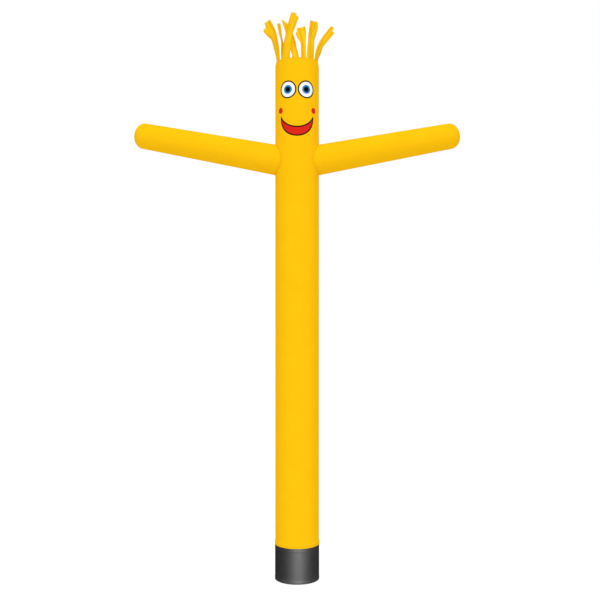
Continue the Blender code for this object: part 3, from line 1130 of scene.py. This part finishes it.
class MESH_OT_dancer_arms(Operator):
    """Sew the two closed arms"""

    bl_idname = "mesh.dancer_arms"
    bl_label = "Arms"

    def execute(self, context):
        settings = context.scene.dancer
        look = settings.look
        material = ripstop_nylon("ripstop_nylon_woven_arm", settings, look.yellow, look.shade)
        for side, word in ((-1, "left"), (1, "right")):
            thing = arm_cloth(settings, side, f"arm_{word}_cloth")
            wear(thing, material, f"arm_{word}")
        return {"FINISHED"}


class MESH_OT_dancer_streamers(Operator):
    """Sew the band of streamers inside the open head"""

    bl_idname = "mesh.dancer_streamers"
    bl_label = "Streamers"

    def execute(self, context):
        settings = context.scene.dancer
        look = settings.look
        thing = streamer_cloth(settings)
        # The streamers take painted fold shade in soft lengthwise streaks.
        material = ripstop_nylon("ripstop_nylon_cut_streamer", settings, look.streamer,
                                 look.streamer_shade, painted_fold_shade=0.8)
        wear(thing, material, "hair_streamers")
        return {"FINISHED"}


class SCENE_OT_dancer_stage(Operator):
    """Set the pale floor, the soft light and the camera"""

    bl_idname = "scene.dancer_stage"
    bl_label = "Stage"

    def execute(self, context):
        stage = context.scene.dancer.stage
        deselect_all()
        bpy.ops.mesh.primitive_plane_add(size=600.0, location=(0.0, 0.0, 0.0))
        floor = bpy.context.active_object
        floor.name = "stage_floor"
        # The floor throws no light on the cloth, and the cloth doesn't mirror it.
        floor.visible_diffuse = False
        floor.visible_glossy = False
        material, tree, shader = start_material("painted_board_matt_floor")
        mottle = add_node(tree, "ShaderNodeTexNoise", {"Scale": 3.0, "Detail": 2.0})
        rough = add_node(tree, "ShaderNodeMapRange",
                         {"Value": mottle["Fac"], "To Min": 0.85, "To Max": 0.95})
        tree.links.new(rough["Result"], shader.inputs["Roughness"])
        shader.inputs["Base Color"].default_value = rgba(stage.floor)
        shader.inputs["Specular IOR Level"].default_value = 0.0
        # The board is lit from below, so only a faint shadow is left on it.
        white = rgba(linear("#FFFFFF"))
        shader.inputs["Emission Color"].default_value = white
        shader.inputs["Emission Strength"].default_value = 0.8
        floor.data.materials.append(material)

        world = bpy.data.worlds.new("studio_white")
        world.use_nodes = True
        context.scene.world = world
        tree = world.node_tree
        tree.nodes.clear()
        # Grey flags to the left and right shape the round cloth's edges.
        direction = add_node(tree, "ShaderNodeTexCoord")["Generated"]
        aside = add_node(tree, "ShaderNodeSeparateXYZ", {"Vector": direction})["X"]
        to_side = add_node(tree, "ShaderNodeMath", {0: aside, 1: aside}, operation="MULTIPLY")[0]
        tent = add_node(tree, "ShaderNodeMapRange",
                        {"Value": to_side, "To Min": stage.sky,
                         "To Max": stage.sky * (1 - stage.side_flags)})
        ray = add_node(tree, "ShaderNodeLightPath")
        in_gloss = 0.03   # so that the sleeve reflects the panel and little else
        dim = add_node(tree, "ShaderNodeMapRange",
                       {"Value": ray["Is Glossy Ray"], "To Min": tent["Result"],
                        "To Max": in_gloss})
        strength = add_node(tree, "ShaderNodeMath",
                            {0: ray["Is Camera Ray"], 1: dim["Result"]}, operation="MAXIMUM")[0]
        sky = add_node(tree, "ShaderNodeBackground",
                       {"Color": white, "Strength": strength})
        add_node(tree, "ShaderNodeOutputWorld", {"Surface": sky["Background"]})

        key = add_light("key_light", "SUN", stage.key, (0.0, 0.0, 0.0), math.radians(40),
                        angle=math.radians(50), use_shadow=False)
        key.visible_glossy = False
        panel = add_light("gloss_panel", "AREA", stage.gloss, (1.2, -10.5, 2.9), math.pi / 2,
                          shape="RECTANGLE", size=2.6, size_y=7.0)
        panel.visible_camera = False
        panel.visible_diffuse = False

        camera = bpy.data.objects.new("camera", bpy.data.cameras.new("camera"))
        context.scene.collection.objects.link(camera)
        camera.location = (stage.camera_side, -stage.distance, stage.camera_height)
        camera.rotation_euler = (math.pi / 2, 0.0, 0.0)
        camera.data.lens = stage.lens
        camera.data.sensor_width = 36.0
        camera.data.clip_end = 200.0
        context.scene.camera = camera
        context.scene.view_settings.view_transform = "Standard"
        return {"FINISHED"}


STEPS = (
    MESH_OT_dancer_sleeve,
    MESH_OT_dancer_tube,
    MESH_OT_dancer_arms,
    MESH_OT_dancer_streamers,
    SCENE_OT_dancer_stage,
)


class VIEW3D_PT_dancer(Panel):
    """The dancer's pieces and their sizes"""

    bl_label = "Tube dancer"
    bl_space_type = "VIEW_3D"
    bl_region_type = "UI"
    bl_category = "Tube dancer"

    def draw(self, context):
        layout = self.layout
        for step in STEPS:
            layout.operator(step.bl_idname)
        settings = context.scene.dancer
        for group_name in DancerSettings.__annotations__:
            box = layout.box()
            box.label(text=group_name.capitalize())
            group = getattr(settings, group_name)
            for name in type(group).__annotations__:
                box.prop(group, name)


GROUPS = (
    SleeveSizes, TubeSizes, ArmSizes, StreamerSizes, SeamSizes, PrintLook, ClothLook, StageLook,
    DancerSettings,
)
CLASSES = (*GROUPS, *STEPS, VIEW3D_PT_dancer)


def register():
    for made in CLASSES:
        bpy.utils.register_class(made)
    bpy.types.Scene.dancer = PointerProperty(type=DancerSettings)


def unregister():
    del bpy.types.Scene.dancer
    for made in reversed(CLASSES):
        bpy.utils.unregister_class(made)


def main():
    register()
    bpy.ops.mesh.dancer_sleeve()
    bpy.ops.mesh.dancer_tube()
    bpy.ops.mesh.dancer_arms()
    bpy.ops.mesh.dancer_streamers()
    bpy.ops.scene.dancer_stage()


if __name__ == "__main__":
    main()
